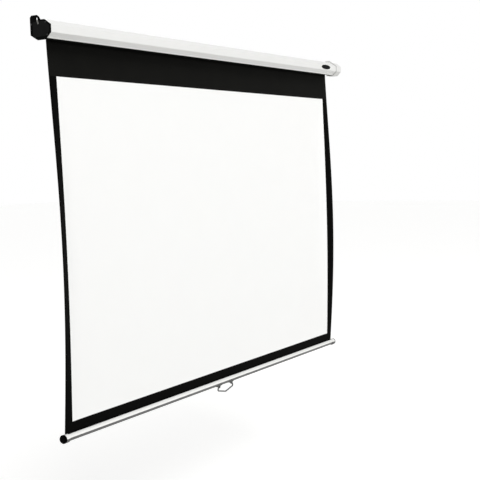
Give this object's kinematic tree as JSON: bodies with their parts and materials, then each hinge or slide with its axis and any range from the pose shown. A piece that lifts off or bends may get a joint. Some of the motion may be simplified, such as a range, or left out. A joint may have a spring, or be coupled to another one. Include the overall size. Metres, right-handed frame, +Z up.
{
  "type": "pull-down projector screen",
  "caption": "Wall-hung projection screen that pulls down from a spring roller in a faceted white case, with a weighted round bar and a wire pull along its lower edge.",
  "frame": {"origin": "on the case's flat back, on the wall plane, behind the middle of the cloth and half way up the left cap's section without its ear", "axes": "+X along the case to the viewer's right, +Y into the wall, +Z up"},
  "size_m": [1.9655, 0.0868, 1.4097],
  "materials": {
    "white_powder_coat": "semi-matt white powder coat on extruded aluminium",
    "black_plastic": "fine-textured moulded black plastic",
    "pale_grey_plastic": "moulded pale grey plastic",
    "natural_nylon": "unpainted moulded nylon",
    "bright_steel": "zinc-plated steel",
    "spring_steel": "oiled dark spring wire",
    "grey_coated_steel": "dark grey coated steel",
    "satin_aluminium": "satin drawn tube",
    "screen_cloth": "matt white coated cloth with a black border and a black back"
  },
  "bodies": {
    "case": {"case_shell": "white_powder_coat", "end_cap_left": "black_plastic", "end_cap_right": "pale_grey_plastic", "eyelet_liner_left": "bright_steel", "eyelet_liner_right": "bright_steel", "cap_screw_left_a": "grey_coated_steel", "cap_screw_left_b": "grey_coated_steel", "cap_screw_left_c": "grey_coated_steel", "cap_screw_right_a": "bright_steel", "cap_screw_right_b": "bright_steel", "cap_screw_right_c": "bright_steel", "spindle": "bright_steel", "ratchet_disc": "bright_steel", "torsion_spring": "spring_steel", "spring_anchor": "natural_nylon", "idler_pin": "bright_steel", "screen_cloth": "screen_cloth"},
    "roller": {"roller_tube": "bright_steel", "roller_plug_left": "natural_nylon", "roller_plug_right": "natural_nylon", "idler_bush": "natural_nylon", "wound_cloth": "screen_cloth", "pawl_pin_a": "bright_steel", "pawl_pin_b": "bright_steel"},
    "pawl_a": {"pawl_a": "bright_steel"},
    "pawl_b": {"pawl_b": "bright_steel"},
    "bar": {"weight_bar": "satin_aluminium", "hem_rod": "pale_grey_plastic", "bar_cap_left": "pale_grey_plastic", "bar_cap_right": "pale_grey_plastic", "bar_plug_left": "black_plastic", "bar_plug_right": "black_plastic", "pull_lug_left": "grey_coated_steel", "pull_lug_right": "grey_coated_steel", "lug_rivet_left_a": "grey_coated_steel", "lug_rivet_left_b": "grey_coated_steel", "lug_rivet_right_a": "grey_coated_steel", "lug_rivet_right_b": "grey_coated_steel"},
    "pull": {"pull_handle": "grey_coated_steel"}
  },
  "joints": [
    {"name": "drop", "type": "slide", "parent": "case", "child": "bar", "axis": [0, 0, 1], "range_m": [0, 1.2697], "deforming": ["screen_cloth"]},
    {"name": "roller_spin", "type": "hinge", "parent": "case", "child": "roller", "pos_m": [0, -0.0425, 0], "axis": [1, 0, 0], "range_deg": [0, 2880]},
    {"name": "pawl_a_swing", "type": "hinge", "parent": "roller", "child": "pawl_a", "pos_m": [-0.9626, -0.02955, 0.01177], "axis": [1, 0, 0], "range_deg": [0, 13]},
    {"name": "pawl_b_swing", "type": "hinge", "parent": "roller", "child": "pawl_b", "pos_m": [-0.9626, -0.05545, -0.01177], "axis": [1, 0, 0], "range_deg": [0, 13]},
    {"name": "pull_swing", "type": "hinge", "parent": "bar", "child": "pull", "pos_m": [0, -0.02517, -1.33357], "axis": [-1, 0, 0], "range_deg": [-30, 100]}
  ],
  "couplings": [
    {"joint": "roller_spin", "follows": "drop", "rad_per_m": 39.588}
  ]
}
